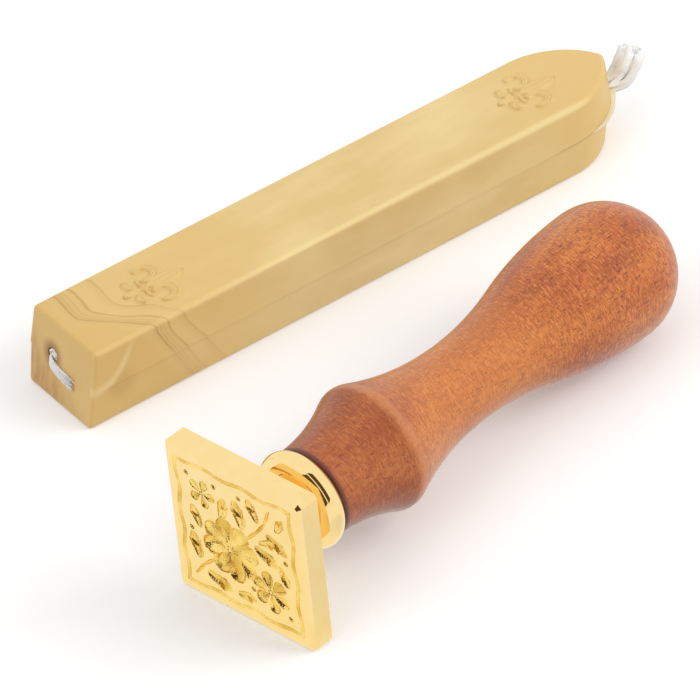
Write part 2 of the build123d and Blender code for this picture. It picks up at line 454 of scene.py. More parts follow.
def straight_run(first, last, step):
    """Points along a straight line, after its first point and up to its last."""
    runs = max(1, ceil(hypot(last[0] - first[0], last[1] - first[1]) / step))
    ways = [run / runs for run in range(1, runs + 1)]
    return [(first[0] + (last[0] - first[0]) * t, first[1] + (last[1] - first[1]) * t) for t in ways]


def draw_line(name, points):
    """Merge a plane to one point, extrude it through a line of points, and stay in edit mode."""
    bpy.ops.mesh.primitive_plane_add(size=mm)
    piece = start(name)
    bpy.ops.mesh.select_all(action="SELECT")
    bpy.ops.mesh.merge(type="CENTER")
    bpy.ops.transform.translate(value=points[0])
    for here, there in zip(points, points[1:]):
        step = tuple(b - a for a, b in zip(here, there))
        bpy.ops.mesh.extrude_region_move(TRANSFORM_OT_translate={"value": step})
    return piece


def turn_on_lathe(name, outline, cuts, smooth_angle=radians(35)):
    """Spin an outline of (station, radius) points about the X axis into a closed piece."""
    piece = draw_line(name, [(station, radius, 0) for station, radius in outline])
    bpy.ops.mesh.select_all(action="SELECT")
    bpy.ops.mesh.spin(steps=cuts, angle=tau, center=(0, 0, 0), axis=(1, 0, 0))
    tidy_shell(smooth_angle)
    return piece


print("a 90 degree arc of 10 mm has", len(arc_run((0, 0), (10 * mm, 0), (0, 10 * mm))), "runs")

# %% [markdown]
# ## The handle
#
# The handle is one piece of beech: a tenon inside the collar, a flared shoulder, a smooth ridge, a
# waist, and a bulb that ends in half a ball. On a lathe such hollows and crests run into each other
# without a corner. So each hollow is an arc that is level at its low point and just touches the round
# of the next crest, and the touching point is worked out from the two.

# %% Handle outline
tenon_front, tenon_radius = 11.5 * mm, 5.95 * mm
shoulder_at, shoulder_radius, shoulder_round = 13.7 * mm, 6.85 * mm, 0.35 * mm
ridge_at, ridge_radius, ridge_round = 26.35 * mm, 9.65 * mm, 3.0 * mm
waist_at, waist_radius = 44.0 * mm, 6.15 * mm
bulb_at, bulb_radius, bulb_round = 74.35 * mm, 10.4 * mm, 61.0 * mm
bore_radius, bore_end = 2.5 * mm, 26.55 * mm


def hollow_to_crest(low, crest, crest_round):
    """Centre of the hollow, centre of the crest, and the point where the two arcs touch."""
    rise, run = crest[1] - low[1], abs(crest[0] - low[0])
    depth = low[1] - (crest[1] - crest_round)
    hollow_round = (run**2 + depth**2 - crest_round**2) / (2 * rise)
    crest_centre = (crest[0], crest[1] - crest_round)
    hollow_centre = (low[0], low[1] + hollow_round)
    share = crest_round / (hollow_round + crest_round)
    touch = tuple(c + (h - c) * share for c, h in zip(crest_centre, hollow_centre))
    return hollow_centre, crest_centre, touch


def handle_outline():
    """From the blind bore, round the tenon, along the whole back of the handle, to the ball's pole."""
    corner = (shoulder_at, shoulder_radius - shoulder_round)
    shoulder = (shoulder_at + shoulder_round, shoulder_radius)
    ridge, waist, bulb = (ridge_at, ridge_radius), (waist_at, waist_radius), (bulb_at, bulb_radius)
    front, crest, ridge_front = hollow_to_crest(shoulder, ridge, ridge_round)
    middle, _, ridge_back = hollow_to_crest(waist, ridge, ridge_round)
    long_hollow, swell_centre, swell = hollow_to_crest(waist, bulb, bulb_round)
    points = [(bore_end, 0), (bore_end, bore_radius), (tenon_front, bore_radius)]
    points += [(tenon_front, tenon_radius), (shoulder_at, tenon_radius), corner]
    points += arc_run((shoulder[0], corner[1]), corner, shoulder)
    points += arc_run(front, shoulder, ridge_front)
    points += arc_run(crest, ridge_front, ridge_back)
    points += arc_run(middle, ridge_back, waist)
    points += arc_run(long_hollow, waist, swell)
    points += arc_run(swell_centre, swell, bulb)
    points += arc_run((bulb_at, 0), bulb, (bulb_at + bulb_radius, 0))
    return points


print("points in the handle's outline:", len(handle_outline()))

# %% [markdown]
# ### Varnished beech
#
# Beech is a pale, even wood, here stained a warm orange brown under satin varnish. Seen close it is
# full of tiny marks: short dark pores along the grain, and fine strokes across it where the rays of
# the tree are cut side on. Both are stretched noise in the handle's own frame, so they run along and
# across the turned surface as in a solid block. A slow, long noise moves the stain between orange
# and red. Light and shade of the turned shape are painted in as well: painted shade before the ridge
# and in the gap by the collar, a painted highlight on the crest, and a lighter, more orange waist
# that is partly painted light. The varnish is a clear coat that mirrors the white room softly at the
# edges.

# %% Beech material
def paint_beech():
    """Stained beech under satin varnish, in the stamp's own frame, with painted shade and a painted highlight on the
    turned shape.
    """
    recipe = Recipe("varnished_beech")
    where = recipe.own_frame(stamp_frame)
    swirl = recipe.noise(recipe.stretched(where, (0.05, 0.16, 0.16)), 1.0, 3.0, 0.55, 0.6)
    brown_and_painted_shade = recipe.ramp(
        swirl,
        (0.30, colour(170, 84, 36)),
        (0.50, colour(200, 108, 44)),
        (0.72, colour(220, 132, 56)),
    )
    bands = recipe.noise(recipe.stretched(where, (0.10, 1.3, 0.5), (0.5, 0, 0)), 1.0, 2.0, 0.5, 0.3)
    brown_and_painted_shade = recipe.blend(recipe.fade(bands, 0.50, 0.70, 0.0, 0.35), brown_and_painted_shade, colour(162, 82, 44))
    pores = recipe.noise(recipe.stretched(where, (0.55, 5.5, 5.5)), 1.0, 2.0, 0.6)
    pore_marks = recipe.fade(pores, 0.585, 0.64)
    rays = recipe.noise(recipe.stretched(where, (5.0, 1.1, 1.1), (0, 0.35, 0.3)), 1.0, 2.0, 0.6)
    ray_marks = recipe.fade(rays, 0.53, 0.61)
    light_rays = recipe.fade(rays, 0.44, 0.36)
    brown_and_painted_shade = recipe.blend(recipe.sum("MULTIPLY", pore_marks, 0.80), brown_and_painted_shade, colour(112, 44, 16))
    brown_and_painted_shade = recipe.blend(recipe.sum("MULTIPLY", ray_marks, 0.55), brown_and_painted_shade, colour(146, 64, 26))
    brown_and_painted_shade = recipe.blend(recipe.sum("MULTIPLY", light_rays, 0.42), brown_and_painted_shade, colour(240, 164, 92))
    station = recipe.node("SeparateXYZ", Vector=where).outputs["X"]
    # Painted shade: the front slope before the ridge, which faces away from the light, is darker and redder.
    brown_and_painted_shade = recipe.blend(recipe.fade(station, 26.0, 29.5, 0.40, 0.0), brown_and_painted_shade, colour(142, 60, 26))
    # The waist is painted lighter and more orange: partly the wood's own tone, partly painted light.
    waist = recipe.fade(recipe.sum("ABSOLUTE", recipe.sum("SUBTRACT", station, 42.0)), 6.0, 20.0, 0.35, 0.0)
    brown_and_painted_shade = recipe.blend(waist, brown_and_painted_shade, colour(222, 142, 72))
    # Painted highlight: a narrow pale line along the crest of the ridge.
    crest = recipe.fade(recipe.sum("ABSOLUTE", recipe.sum("SUBTRACT", station, 26.6)), 0.2, 1.3, 0.45, 0.0)
    brown_and_painted_shade = recipe.blend(crest, brown_and_painted_shade, colour(226, 150, 98))
    # Painted shade: a dark red-brown band on the wood in the gap beside the collar.
    brown_and_painted_shade = recipe.blend(recipe.fade(station, 14.0, 14.9, 0.9, 0.0), brown_and_painted_shade, colour(84, 26, 4))
    height = recipe.sum("SUBTRACT", recipe.sum("MULTIPLY", pore_marks, -1.0), ray_marks)
    recipe.surface(
        Base_Color=brown_and_painted_shade,
        Roughness=recipe.fade(bands, 0.3, 0.7, 0.34, 0.42),
        Normal=recipe.relief(height, 0.02 * mm, 0.5),
        Coat_Weight=0.24,
        Coat_Roughness=0.24,
        Coat_IOR=1.45,
    )
    return recipe.material


beech = paint_beech()
print("beech nodes:", len(beech.node_tree.nodes))

# %% Turn the handle
lathe_cuts = 144
handle = turn_on_lathe("turned_handle", handle_outline(), lathe_cuts)
handle.data.materials.append(beech)
lay(handle, stamp_frame)
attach(handle, "stamp_grip")
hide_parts("wood_handle")
report(handle)

# %% [markdown]
# ## Gilt metal
#
# Head and collar are plated with pale, polished gold. Polished metal has no colour of its own beyond
# what it mirrors, so its base colour is simply the tint of that mirror. The finish is nearly, but not
# quite, perfect: a fine haze in the roughness, and a slight orange-peel wave in the plating that
# breaks long reflections.

# %% Gilt material
def paint_gilt(name, bright, deep, haze, stipple=0.0):
    """Polished gold plating with a little haze and a slight wave, and tool marks if it is cut."""
    recipe = Recipe(name)
    where = recipe.own_frame(stamp_frame)
    wander = recipe.noise(where, 0.35, 3.0, 0.5)
    smudge = recipe.noise(where, 1.1, 4.0, 0.6)
    ripple = recipe.noise(where, 0.8, 2.0, 0.5)
    under = recipe.relief(recipe.noise(where, 4.5, 1.0, 0.5), 0.10 * mm, stipple)
    recipe.surface(
        Base_Color=recipe.blend(recipe.fade(wander, 0.35, 0.70), bright, deep),
        Metallic=1.0,
        Roughness=recipe.fade(smudge, 0.3, 0.75, haze, haze * 2.2),
        Normal=recipe.relief(ripple, 0.02 * mm, 0.25, under),
    )
    return recipe.material


gilt = paint_gilt("gilt_polish", colour(253, 224, 160), colour(251, 220, 152), 0.04)
print("gilt nodes:", len(gilt.node_tree.nodes))

# %% [markdown]
# ## The collar
#
# The collar hides the joint between wood and metal. Its front edge is a tight round, then comes a
# crease, and then a rounder rim against the wood. Behind, it is a cup for the handle's tenon. The outline goes once
# round the whole section, so the piece is closed and hollow like the real one.

# %% Collar outline and piece
collar_front, collar_back, collar_floor = 10.15 * mm, 13.65 * mm, 11.45 * mm
collar_nose_radius, collar_hole = 5.5 * mm, 2.7 * mm
crease_at, crease_radius = 11.15 * mm, 7.1 * mm
rim_crown_at, rim_radius, rim_back_radius = 12.15 * mm, 7.45 * mm, 6.95 * mm
crease_depth = 0.15 * mm
cup_radius = 6.0 * mm
collar_step = 0.22 * mm


def collar_outline():
    """From the hole, over the front round, the crease and the rim, into the cup and back to the hole."""
    nose, crease = (collar_front, collar_nose_radius), (crease_at, crease_radius)
    dome_middle = (collar_front + 0.55 * mm, collar_nose_radius + 1.25 * mm)
    rim_start, crown = (crease_at + crease_depth, crease_radius), (rim_crown_at, rim_radius)
    rim_end = (collar_back - crease_depth, rim_back_radius)
    points = [(collar_floor, collar_hole), (collar_front, collar_hole), nose]
    points += arc_run(three_point_centre(nose, dome_middle, crease), nose, crease, collar_step)
    points += [rim_start]
    points += arc_run(three_point_centre(rim_start, crown, rim_end), rim_start, rim_end, collar_step)
    points += [(collar_back, rim_back_radius - crease_depth), (collar_back, cup_radius)]
    points += [(collar_floor, cup_radius), (collar_floor, collar_hole)]
    return points


collar = turn_on_lathe("gilt_collar", collar_outline(), lathe_cuts, radians(28))
collar.data.materials.append(gilt)
lay(collar, stamp_frame)
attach(collar, "stamp_grip")
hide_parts("ferrule")
report(collar)

# %% [markdown]
# ## The square head
#
# The head starts as a plain block, as brass bar does on the saw. Its four long corners are cut off,
# and every edge of the face is broken, because a sharp one would tear the wax. The neck is a turned
# piece with a small root fillet, joined on behind, and bored for the thread.

# %% Plate and neck
plate_side, plate_thickness = 25.0 * mm, 3.5 * mm
corner_cut, edge_cut = 0.6 * mm, 0.5 * mm
neck_radius, neck_end, root_round = 4.7 * mm, 10.1 * mm, 0.8 * mm
socket_floor, mouth_cut = 3.9 * mm, 0.3 * mm
sunk = 0.2 * mm


def saw_plate():
    """The square plate, with cut corners and broken edges, its face at X = 0."""
    bpy.ops.mesh.primitive_cube_add(
        size=1, location=(plate_thickness / 2, 0, 0), scale=(plate_thickness, plate_side, plate_side)
    )
    plate = start("seal_head")
    pick("EDGE", lambda e: abs((e.verts[0].co - e.verts[1].co).normalized().x) > 0.99)
    bpy.ops.mesh.bevel(offset=corner_cut, segments=1, affect="EDGES")
    pick("EDGE", lambda e: all(abs(v.co.x) < 0.01 * mm for v in e.verts))
    bpy.ops.mesh.bevel(offset=edge_cut, segments=1, affect="EDGES")
    tidy_shell()
    return plate


def neck_outline():
    """The neck from inside the plate, with its root fillet, to its flat end."""
    root = (plate_thickness, neck_radius + root_round)
    foot = (plate_thickness + root_round, neck_radius)
    points = [(plate_thickness - sunk, 0), (plate_thickness - sunk, root[1]), root]
    points += arc_run((foot[0], root[1]), root, foot, 0.1 * mm)
    points += [(neck_end - mouth_cut / 2, neck_radius), (neck_end, neck_radius - mouth_cut / 2), (neck_end, 0)]
    return points


def join_solid(piece, other, operation):
    """Unite a piece with another solid, or cut the other out of it, and clear the other away."""
    finish_with(piece, "BOOLEAN", operation=operation, object=other, solver="EXACT", use_self=True)
    bpy.data.objects.remove(other)


head = saw_plate()
join_solid(head, turn_on_lathe("neck", neck_outline(), lathe_cuts // 2), "UNION")
report(head)

# %% [markdown]
# ### The threaded socket
#
# The screw thread in the neck is an M5: a V groove that moves on 0.8 mm at each turn. Modelling it as
# a groove wound round a bar is easy to get wrong at the ends. Here a bar is turned with many rings,
# and each point's radius is then set from its station and its angle, so that the crest travels along
# as it goes round. The same bar, a little larger, is cut out of the neck to make the socket.

# %% Threaded bar
stud_radius, thread_pitch, thread_depth = 2.45 * mm, 0.8 * mm, 0.43 * mm
stud_front, stud_rear, stud_end_cut = 4.2 * mm, 26.5 * mm, 0.4 * mm
stud_point, stud_point_radius = 3.5 * mm, 0.9 * mm
thread_rings, thread_cuts = 10, 48


def thread_share(station, angle):
    """How deep the V groove is at a place on the bar, from 0 at the crest to 1 at the root."""
    turns = station / thread_pitch - angle / tau
    return min(1.0, 2.2 * abs(turns - round(turns)))


def threaded_bar(name, outline, thread_from, thread_to):
    """Turn a bar, then sink its thread between two stations, easing in and out over half a turn."""
    bar = turn_on_lathe(name, outline, thread_cuts, radians(60))
    for vertex in bar.data.vertices:
        x, y, z = vertex.co
        radius = hypot(y, z)
        ease = min(1.0, max(0.0, min(x - thread_from, thread_to - x) / (thread_pitch / 2)))
        if radius > stud_point_radius and ease > 0:
            depth = thread_depth * ease * (1 - thread_share(x, atan2(z, y)))
            vertex.co = (x, y * (1 - depth / radius), z * (1 - depth / radius))
    return bar


ring_step = thread_pitch / thread_rings
socket_radius = stud_radius + 0.05 * mm
socket_outline = [(socket_floor, 0), (socket_floor, socket_radius)]
socket_outline += straight_run(socket_outline[-1], (neck_end - mouth_cut, socket_radius), ring_step)
socket_outline += [(neck_end, socket_radius + mouth_cut), (neck_end + sunk, socket_radius + mouth_cut)]
socket_outline += [(neck_end + sunk, 0)]
socket_tool = threaded_bar("socket_tool", socket_outline, socket_floor, neck_end - mouth_cut)
join_solid(head, socket_tool, "DIFFERENCE")
report(head)

# %% [markdown]
# ### The engraved face
#
# A seal is cut, not cast: each mark is sunk into the face and leaves raised wax. A frame of waves
# runs round the edge, and inside it grows a flowering spray of this lesson's own design. Every leaf
# and petal is one pointed cutting tool, a ball squashed to a leaf with ribs along it, so that its
# pocket has many small facets. Those facets are what sparkles. All the tools are joined and cut away
# from the face in one pass, and the faces that they leave carry the second material, a deeper, more
# orange gold that paints shade and gold-on-gold reflection into the pockets.

# %% Carving tools
leaf_sides, leaf_rings = 14, 10
rib_share = 0.16
groove_half_width, groove_depth = 0.36 * mm, 0.17 * mm
border_centre = 10.45 * mm
wave_swing, waves_a_side = 0.22 * mm, 3


def face_point(across, up, depth=0.0):
    """A point on the engraved face as its viewer sees it: across to the right, up, and into it."""
    return Vector((depth, -across, up))


def leaf_tool(place, angle, length, width, depth, blunt=0.0):
    """A ribbed, pointed ball lying in the face; blunt widens its outer end into a petal."""
    bpy.ops.mesh.primitive_uv_sphere_add(segments=leaf_sides, ring_count=leaf_rings, radius=1)
    tool = start("leaf_tool")
    bpy.ops.object.mode_set(mode="OBJECT")
    way = Vector((cos(angle), sin(angle)))
    for vertex in tool.data.vertices:
        along, sideways, deep = vertex.co.z, vertex.co.y, vertex.co.x
        if abs(along) < 0.99:
            rib = round(atan2(vertex.co.y, vertex.co.x) / tau * leaf_sides) % 2
            plump = (1 - rib_share * rib) * (1 + blunt * along)
            sideways, deep = sideways * plump, deep * plump
        across = place[0] + (way.x * along * length - way.y * sideways * width) / 2
        up = place[1] + (way.y * along * length + way.x * sideways * width) / 2
        vertex.co = face_point(across, up, deep * depth)
    return tool


def pit_tool(place, radius, depth):
    """A small round punch."""
    bpy.ops.mesh.primitive_ico_sphere_add(subdivisions=2, radius=1)
    tool = start("pit_tool")
    bpy.ops.object.mode_set(mode="OBJECT")
    for vertex in tool.data.vertices:
        vertex.co = face_point(
            place[0] - vertex.co.y * radius, place[1] + vertex.co.z * radius, vertex.co.x * depth
        )
    return tool


def stem_tool(points, width, depth):
    """A V tool drawn along a line of points, narrowing to nothing at both ends."""
    tools = []
    for here, there in zip(points, points[1:]):
        middle = ((here[0] + there[0]) / 2, (here[1] + there[1]) / 2)
        run = hypot(there[0] - here[0], there[1] - here[1])
        angle = atan2(there[1] - here[1], there[0] - here[0])
        tools.append(leaf_tool(middle, angle, run * 1.5, width, depth))
    return tools


def border_tool():
    """A ring whose path is a square of waves and whose section is a small half round."""
    bpy.ops.mesh.primitive_torus_add(
        major_segments=4 * 48, minor_segments=10, major_radius=1.0, minor_radius=0.25
    )
    tool = start("border_tool")
    bpy.ops.object.mode_set(mode="OBJECT")
    for vertex in tool.data.vertices:
        turn = atan2(vertex.co.y, vertex.co.x) % tau
        out = (hypot(vertex.co.x, vertex.co.y) - 1.0) / 0.25
        side, share = divmod(turn / tau * 4, 1)
        along = (2 * share - 1) * border_centre
        reach = border_centre + wave_swing * sin(2 * pi * waves_a_side * share) + out * groove_half_width
        along *= 1 + out * groove_half_width / border_centre
        facing = Matrix.Rotation(side * pi / 2, 2) @ Vector((reach, along))
        vertex.co = face_point(facing.x, facing.y, -vertex.co.z / 0.25 * groove_depth)
    return tool


def blossom(place, petals, reach, turn):
    """Petals round a ring of seed pits."""
    tools = []
    for petal in range(petals):
        angle = turn + tau * petal / petals
        middle = (place[0] + cos(angle) * reach * 0.62, place[1] + sin(angle) * reach * 0.62)
        tools.append(leaf_tool(middle, angle, reach * 0.86, reach * 0.62, reach * 0.17, 0.35))
        seed = (place[0] + cos(angle) * reach * 0.13, place[1] + sin(angle) * reach * 0.13)
        tools.append(pit_tool(seed, reach * 0.075, reach * 0.07))
    return tools


def spray():
    """The whole design: a bowed stem from corner to corner, two blossoms, leaves, berries, sparks."""
    bow = [(-8.6, -8.4), (-7.0, -6.4), (-5.4, -5.0), (1.8, 2.2), (3.6, 4.0), (5.4, 6.2), (6.4, 8.6)]
    bow = [(x * mm, y * mm) for x, y in bow]
    tools = stem_tool(bow[:3], 0.6 * mm, 0.34 * mm) + stem_tool(bow[3:], 0.6 * mm, 0.34 * mm)
    tools += blossom((-1.6 * mm, -1.5 * mm), 8, 5.0 * mm, radians(12))
    tools += blossom((-1.6 * mm, -1.5 * mm), 8, 2.6 * mm, radians(34))
    tools += blossom((5.3 * mm, -5.4 * mm), 6, 3.3 * mm, radians(40))
    tools += blossom((-6.1 * mm, 6.1 * mm), 5, 2.3 * mm, radians(70))
    leaves = [
        (-8.2, -3.6, 104, 4.6), (-4.4, -8.2, -16, 4.8), (-7.6, 1.6, 112, 3.8), (0.6, -8.4, 6, 3.6),
        (0.6, 5.6, 104, 4.8), (5.2, 0.6, -22, 4.6), (3.4, 7.6, 116, 3.8), (7.4, 3.6, -30, 4.2),
        (-2.4, 5.2, 76, 4.0), (8.2, -1.4, -68, 3.6), (5.6, 3.0, 20, 3.4), (8.2, 7.2, 62, 3.0),
    ]
    for x, y, angle, length in leaves:
        place, turn = (x * mm, y * mm), radians(angle)
        tools.append(leaf_tool(place, turn, length * mm, length * 0.46 * mm, 0.45 * mm))
        for side in (-1, 1):
            beside = (place[0] - side * sin(turn) * length * 0.12 * mm, place[1] + side * cos(turn) * length * 0.12 * mm)
            tools.append(leaf_tool(beside, turn + side * 0.5, length * 0.5 * mm, length * 0.14 * mm, 0.6 * mm))
    for x, y in [(-3.6, 8.4), (-8.6, 8.6), (1.0, 8.6), (8.6, -8.4), (-8.7, -0.8), (2.0, -6.4), (8.8, 1.2)]:
        tools.append(pit_tool((x * mm, y * mm), 0.42 * mm, 0.4 * mm))
    return tools


carving = spray() + [border_tool()]
print("carving tools:", len(carving))

# %% Cut the face
# The cut faces get a deeper, more orange gold: painted shade and painted gold-on-gold reflection in the pockets; the
# stipple is a bump of tool marks.
gilt_cuts_painted_shade = paint_gilt("gilt_cuts_with_painted_shade", colour(252, 220, 130), colour(226, 186, 86), 0.05, 0.8)


def join_all(pieces, name):
    """Join several pieces into one."""
    only(pieces[0])
    for piece in pieces[1:]:
        piece.select_set(True)
    bpy.ops.object.join()
    pieces[0].name = name
    return pieces[0]


cutter = join_all(carving, "carving_tools")
cutter.data.materials.append(gilt)
cutter.data.materials.append(gilt_cuts_painted_shade)
for face in cutter.data.polygons:
    face.material_index = 1
head.data.materials.append(gilt)
head.data.materials.append(gilt_cuts_painted_shade)
join_solid(head, cutter, "DIFFERENCE")
only(head)
bpy.ops.object.shade_smooth_by_angle(angle=radians(24))
lay(head, stamp_frame)
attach(head, "head")
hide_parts("die_head")
report(head)

# %% [markdown]
# ## The stud
#
# A steel stud holds the head: one end is glued in the wood, and the other carries the thread. It is
# hidden until the head is unscrewed, so only its front needs a true thread, and its rear tapers like
# the wood screw that such studs are.

# %% Stud
def paint_steel():
    """Bright zinc-plated steel with turning marks round it."""
    recipe = Recipe("bright_steel")
    where = recipe.own_frame(stamp_frame)
    marks = recipe.noise(recipe.stretched(where, (9.0, 0.6, 0.6)), 1.0, 2.0, 0.6)
    tint = recipe.noise(where, 0.6, 2.0, 0.5)
    recipe.surface(
        Base_Color=recipe.ramp(tint, (0.3, colour(168, 170, 172)), (0.7, colour(196, 197, 194))),
        Metallic=1.0,
        Roughness=recipe.fade(marks, 0.3, 0.7, 0.24, 0.42),
        Normal=recipe.relief(marks, 0.01 * mm, 0.4),
    )
    return recipe.material


stud_outline = [(stud_front, 0), (stud_front, stud_radius - stud_end_cut)]
stud_outline += [(stud_front + stud_end_cut, stud_radius)]
stud_outline += straight_run(stud_outline[-1], (stud_rear - stud_point, stud_radius), ring_step)
stud_outline += straight_run(stud_outline[-1], (stud_rear, stud_point_radius), ring_step)
stud_outline += [(stud_rear, 0)]
stud = threaded_bar("threaded_stud_steel", stud_outline, stud_front, stud_rear)
stud.data.materials.append(paint_steel())
lay(stud, stamp_frame)
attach(stud, "stud")
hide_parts("threaded_stud")
report(stud)

# %% [markdown]
# ## The wax stick
#
# The stick is one casting from a two-part mould. It has a flat base and top, sides that lean in a
# little towards both so that it leaves the mould, soft edges, and a nose like a pointed arch. It
# starts as a block. The front is extruded step by step, and narrowed at each step as the arch
# narrows. The sides are then given their draft, the edges are rounded, and the rear is cut aslant.
# Last, the lower half is set in by a hair all round: that small step is the mould's parting line.

# %% Sizes of the casting
stick_width, stick_height = 16.6 * mm, 12.1 * mm
half_width, parting = stick_width / 2, stick_height / 2
nose_length, tip_round = 12.0 * mm, 1.2 * mm
nose_start = stick_length - nose_length
draft = parting * tan(radians(3.6))
base_step, base_nose_step, base_nose_tuck = 0.2 * mm, 0.5 * mm, 1.4 * mm
top_round, base_round, rear_round = 0.75 * mm, 0.7 * mm, 0.5 * mm
rear_slant = radians(12.5)
parting_band = 0.08 * mm

arch_radius = (nose_length**2 + half_width**2) / (2 * half_width)
arch_drop = arch_radius - half_width
tip_centre = nose_start + sqrt((arch_radius - tip_round) ** 2 - arch_drop**2)
arch_end = nose_start + (tip_centre - nose_start) * arch_radius / (arch_radius - tip_round)


def nose_half_width(station):
    """Half the width of the plan at a station of the nose: an arc, then the small round of the tip."""
    if station < arch_end:
        return sqrt(arch_radius**2 - (station - nose_start) ** 2) - arch_drop
    return sqrt(max(0.0, tip_round**2 - (station - tip_centre) ** 2))


def nose_stations(arc_steps=16, tip_steps=7):
    """Even steps along the arc, then even turns round the tip."""
    steps = [nose_start + (arch_end - nose_start) * step / arc_steps for step in range(1, arc_steps + 1)]
    first = atan2(nose_half_width(arch_end), arch_end - tip_centre)
    turns = [first * (1 - step / tip_steps) for step in range(1, tip_steps + 1)]
    return steps + [tip_centre + tip_round * cos(turn) for turn in turns]


def along_nose(station):
    """How far a station is along the nose, from 0 where it starts to 1 at the tip."""
    return min(1.0, max(0.0, (station - nose_start) / nose_length))


print("the tip is at, mm:", round((tip_centre + tip_round) / mm, 2))

# %% Block, nose and draft
def move_points(piece, rule):
    """Give every point of a piece the place that a rule makes of its place."""
    for vertex in piece.data.vertices:
        vertex.co = rule(vertex.co.copy())


def rough_block():
    """The block with its arched nose, all at full width, and a ring of edges at the parting."""
    rear_spare = stick_height
    length = nose_start + rear_spare
    bpy.ops.mesh.primitive_cube_add(
        size=1, location=(length / 2 - rear_spare, 0, parting), scale=(length, stick_width, stick_height)
    )
    block = start("wax_casting")
    pick("FACE", lambda f: f.normal.x > 0.99)
    here, half = nose_start, half_width
    for there in nose_stations():
        narrowed = max(nose_half_width(there), 0.001 * mm)
        bpy.ops.mesh.extrude_region_move(TRANSFORM_OT_translate={"value": (there - here, 0, 0)})
        bpy.ops.transform.resize(value=(1, narrowed / half, 1))
        here, half = there, narrowed
    bpy.ops.mesh.select_all(action="SELECT")
    slice_at((0, 0, parting), (0, 0, 1))
    tidy_shell(merge=0.004 * mm)
    return block


def drafted(place):
    """Lean a point in, the more the further it is from the parting plane."""
    share = abs(place.z - parting) / parting
    tuck = draft if place.z > parting else base_nose_tuck
    station = place.x - tuck * share * along_nose(place.x)
    return Vector((station, place.y * (1 - draft * share / half_width), place.z))


casting = rough_block()
move_points(casting, drafted)
report(casting)

# %% Rounds, rear cut and parting line
def round_flat(height, radius):
    """Make the flat at this height one face, and round its edge everywhere but at the rear."""
    pick("FACE", lambda f: abs(f.calc_center_median().z - height) < 0.01 * mm)
    bpy.ops.mesh.dissolve_faces()
    bpy.ops.mesh.region_to_loop()
    flat_edges = {edge.index for edge in bmesh.from_edit_mesh(casting.data).edges if edge.select}
    pick("EDGE", lambda e: e.index in flat_edges and any(v.co.x > nose_start / 2 for v in e.verts))
    bpy.ops.mesh.bevel(offset=radius, segments=5, affect="EDGES")


def set_in_base(place):
    """Set the lower half of the casting in by the mould's mismatch."""
    if place.z > parting - parting_band / 2:
        return place
    station = place.x - base_nose_step * along_nose(place.x)
    return Vector((station, place.y * (1 - base_step / half_width), place.z))


only(casting)
bpy.ops.object.mode_set(mode="EDIT")
round_flat(stick_height, top_round)
round_flat(0.0, base_round)
bpy.ops.mesh.select_all(action="SELECT")
slice_at((0, 0, parting), (cos(rear_slant), 0, -sin(rear_slant)), use_fill=True, clear_inner=True)
pick("FACE", lambda f: f.normal.x < -0.9)
bpy.ops.mesh.region_to_loop()
bpy.ops.mesh.bevel(offset=rear_round, segments=4, affect="EDGES")
bpy.ops.mesh.select_all(action="SELECT")
slice_at((0, 0, parting - parting_band), (0, 0, 1))
tidy_shell(merge=0.001 * mm)
move_points(casting, set_in_base)
report(casting)

# %% [markdown]
# ### Rear hole
#
# The wick runs through the whole stick, but at the rear it was not centred in the mould: it comes
# out a little to one side, and the wax shrank away from it there. The bore is cut with a long bar
# that ends inside the wax, and the mouth is a stretched ball.

# %% Wick hole and its mouth
wick_radius, hole_play = 1.3 * mm, 0.05 * mm
bore_from = 4.0 * mm
mouth_place, mouth_size = (0.3 * mm, 2.4 * mm, 6.9 * mm), (1.7 * mm, 1.15 * mm, 0.95 * mm)

bore_length = stick_length * 1.2
bpy.ops.mesh.primitive_cylinder_add(vertices=40, radius=wick_radius + hole_play, depth=bore_length)
bore_tool = only(bpy.context.object)
bore_tool.rotation_euler = (0, pi / 2, 0)
bore_tool.location = (bore_from + bore_length / 2, 0, parting)
bpy.ops.object.transform_apply(location=True, rotation=True, scale=True)
join_solid(casting, bore_tool, "DIFFERENCE")
bpy.ops.mesh.primitive_uv_sphere_add(
    segments=32, ring_count=20, radius=1, location=mouth_place, scale=mouth_size
)
bpy.ops.object.transform_apply(location=True, rotation=True, scale=True)
join_solid(casting, bpy.context.object, "DIFFERENCE")
report(casting)

# %% [markdown]
# ### Lily ornaments
#
# Two small lilies stand in relief on the top, one near each end, both pointing to the nose. They were
# cut into the mould, so their edges are soft. A field is marked off on the top for each with four
# bisects, and subdivided finely. Every point of the field is then lifted by a height drawn from the
# lily's parts: pointed ovals for the straight petals, bowed strokes for the curling ones, and a bar
# for the band. Each part has a raised rim, a shallow valley and a spine.

# %% Relief of one lily
lily_height, lily_moat = 0.27 * mm, 0.04 * mm
field_length, field_width = 10.8 * mm, 9.8 * mm
field_cuts = 99
lily_stations = [16.4 * mm, 81.7 * mm]


def pointed_oval(u, v, middle, length, width):
    """1 on the spine of a pointed oval along u, 0 at its rim, less outside."""
    share = (u - middle) / (length / 2)
    if abs(share) >= 1:
        return -1.0
    return 1 - abs(v) / (width / 2 * (1 - share**2) ** 0.8)


def bowed_stroke(u, v, centre, radius, first, sweep, half):
    """1 on the line of a stroke along an arc, 0 at its rim; angles are in degrees, ends are round."""
    angle = degrees(atan2(v - centre[1], u - centre[0]))
    share = ((angle - first) * (1 if sweep > 0 else -1)) % 360 / abs(sweep)
    if share <= 1:
        return 1 - abs(hypot(u - centre[0], v - centre[1]) - radius) / (half + 0.25 * sin(pi * share))
    turn = radians(first + sweep * (1.0 if (share - 1) * abs(sweep) < 180 - abs(sweep) / 2 else 0.0))
    return 1 - hypot(u - centre[0] - radius * cos(turn), v - centre[1] - radius * sin(turn)) / half


